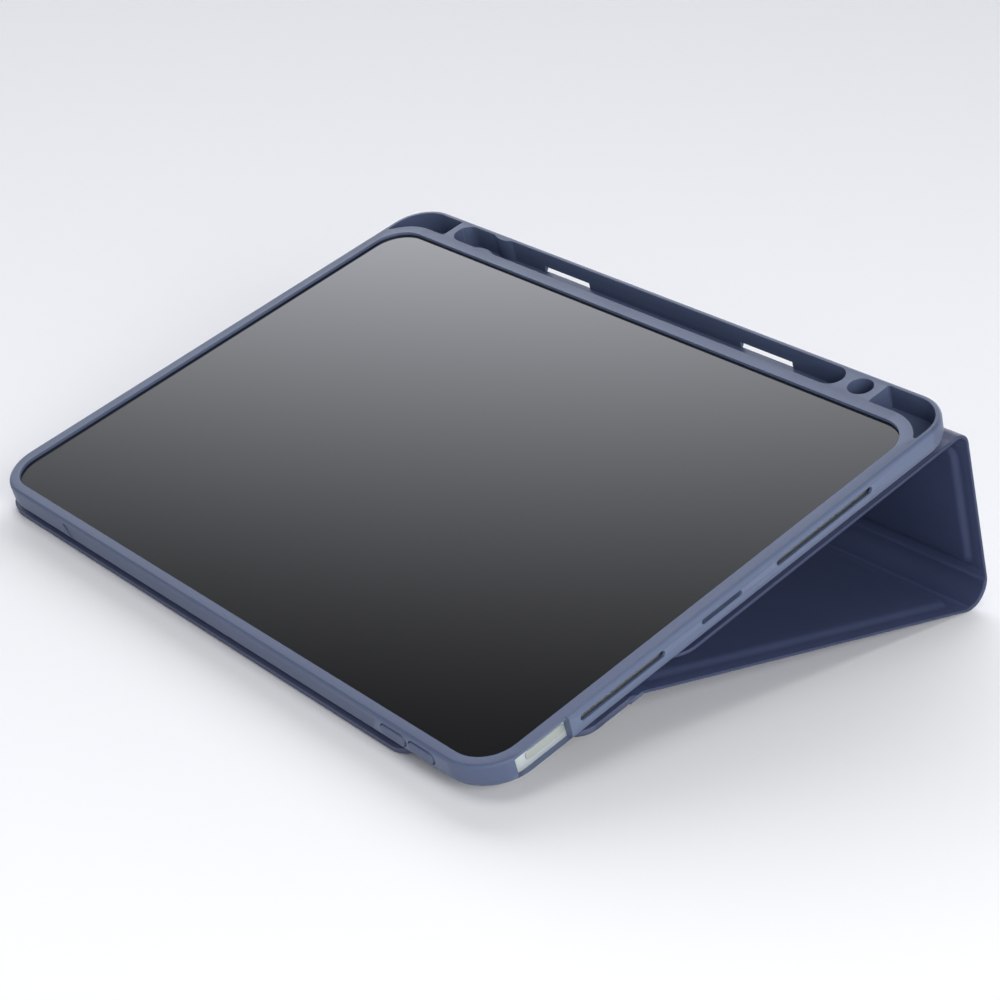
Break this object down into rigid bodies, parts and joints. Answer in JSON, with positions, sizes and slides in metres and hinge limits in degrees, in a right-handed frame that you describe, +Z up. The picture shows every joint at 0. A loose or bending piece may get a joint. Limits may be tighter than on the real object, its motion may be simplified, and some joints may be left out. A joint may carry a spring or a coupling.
{
  "type": "tablet folio case",
  "caption": "Soft-tray tablet folio with a pencil trough along one long side, its hinged cover folded under the tablet as a low writing stand.",
  "frame": {"origin": "centre of the bounding box on the ground, under the case folded as a stand", "axes": "+X along the tablet's long side, towards the end with the top button; +Y from the tablet's low edge to the raised side with the pencil trough; +Z up"},
  "size_m": [0.2546, 0.2111, 0.0735],
  "materials": {
    "tray_rubber": "satin soft-touch",
    "cover_skin": "fine-grained synthetic leather",
    "cover_lining": "short-nap microfibre",
    "stiff_board": "matte",
    "glue": "matte",
    "keeper_steel": "plain",
    "magnet": "plated",
    "tablet_aluminium": "bead-blasted anodised",
    "key_aluminium": "anodised",
    "screen_glass": "polished",
    "lens_glass": "polished",
    "display": "smooth",
    "camera_black": "matte",
    "battery": "foil pouch",
    "circuit_board": "solder mask",
    "shield": "plain",
    "port_steel": "plain"
  },
  "bodies": {
    "case": {"tray_shell": "tray_rubber", "keeper_strip": "keeper_steel", "back_panel_skin": "cover_skin", "back_panel_board": "stiff_board", "back_adhesive": "glue", "tablet_housing": "tablet_aluminium", "cover_glass": "screen_glass", "front_camera_lens": "lens_glass", "front_camera": "camera_black", "display_panel": "display", "battery_cell_left": "battery", "battery_cell_right": "battery", "logic_board": "circuit_board", "shield_cans": "shield", "speaker_high_left": "camera_black", "speaker_high_right": "camera_black", "speaker_low_left": "camera_black", "speaker_low_right": "camera_black", "usb_c_port": "port_steel", "rear_camera_ring": "tablet_aluminium", "rear_camera_lens": "lens_glass", "rear_camera_module": "camera_black", "tablet_magnets": "magnet", "key_switches": "camera_black"},
    "floor_panel": {"floor_panel_skin": "cover_skin", "floor_panel_board": "stiff_board", "floor_panel_lining": "cover_lining"},
    "spine": {"spine_skin": "cover_skin", "spine_strip": "stiff_board", "spine_lining": "cover_lining"},
    "riser_panel": {"riser_panel_skin": "cover_skin", "riser_panel_board": "stiff_board", "riser_panel_lining": "cover_lining"},
    "front_panel": {"front_panel_skin": "cover_skin", "front_panel_board": "stiff_board", "front_panel_lining": "cover_lining", "hold_magnets": "magnet"},
    "volume_up_pad": {"volume_up_pad": "tray_rubber"},
    "volume_down_pad": {"volume_down_pad": "tray_rubber"},
    "volume_up_key": {"volume_up_key": "key_aluminium"},
    "volume_down_key": {"volume_down_key": "key_aluminium"},
    "top_button": {"top_button": "key_aluminium"}
  },
  "joints": [
    {"name": "back_crease", "type": "hinge", "parent": "case", "child": "floor_panel", "pos_m": [0, -0.04744, 0.01822], "axis": [-1, 0, 0], "range_deg": [0, 110]},
    {"name": "spine_hinge", "type": "hinge", "parent": "floor_panel", "child": "spine", "pos_m": [0, 0.09655, 0.00006], "axis": [-1, 0, 0], "range_deg": [0, 24]},
    {"name": "riser_hinge", "type": "hinge", "parent": "spine", "child": "riser_panel", "pos_m": [0, 0.10508, 0.01072], "axis": [-1, 0, 0], "range_deg": [0, 24]},
    {"name": "front_crease", "type": "hinge", "parent": "riser_panel", "child": "front_panel", "pos_m": [0, 0.08597, 0.06042], "axis": [-1, 0, 0], "range_deg": [-48, 0]},
    {"name": "volume_up_press", "type": "slide", "parent": "case", "child": "volume_up_pad", "axis": [0, 0.9474, 0.32], "range_m": [0, 0.0003], "stiffness_N_per_m": 900, "springref_m": -0.0002},
    {"name": "volume_up_key_press", "type": "slide", "parent": "case", "child": "volume_up_key", "axis": [0, 0.9474, 0.32], "range_m": [0, 0.0003]},
    {"name": "volume_down_press", "type": "slide", "parent": "case", "child": "volume_down_pad", "axis": [0, 0.9474, 0.32], "range_m": [0, 0.0003], "stiffness_N_per_m": 900, "springref_m": -0.0002},
    {"name": "volume_down_key_press", "type": "slide", "parent": "case", "child": "volume_down_key", "axis": [0, 0.9474, 0.32], "range_m": [0, 0.0003]},
    {"name": "top_button_press", "type": "slide", "parent": "case", "child": "top_button", "axis": [-1, 0, 0], "range_m": [0, 0.0003], "stiffness_N_per_m": 900, "springref_m": -0.0002}
  ],
  "couplings": [
    {"joint": "riser_hinge", "follows": "spine_hinge", "ratio": 1},
    {"joint": "front_crease", "follows": "spine_hinge", "ratio": -2},
    {"joint": "volume_up_key_press", "follows": "volume_up_press", "ratio": 1},
    {"joint": "volume_down_key_press", "follows": "volume_down_press", "ratio": 1}
  ]
}
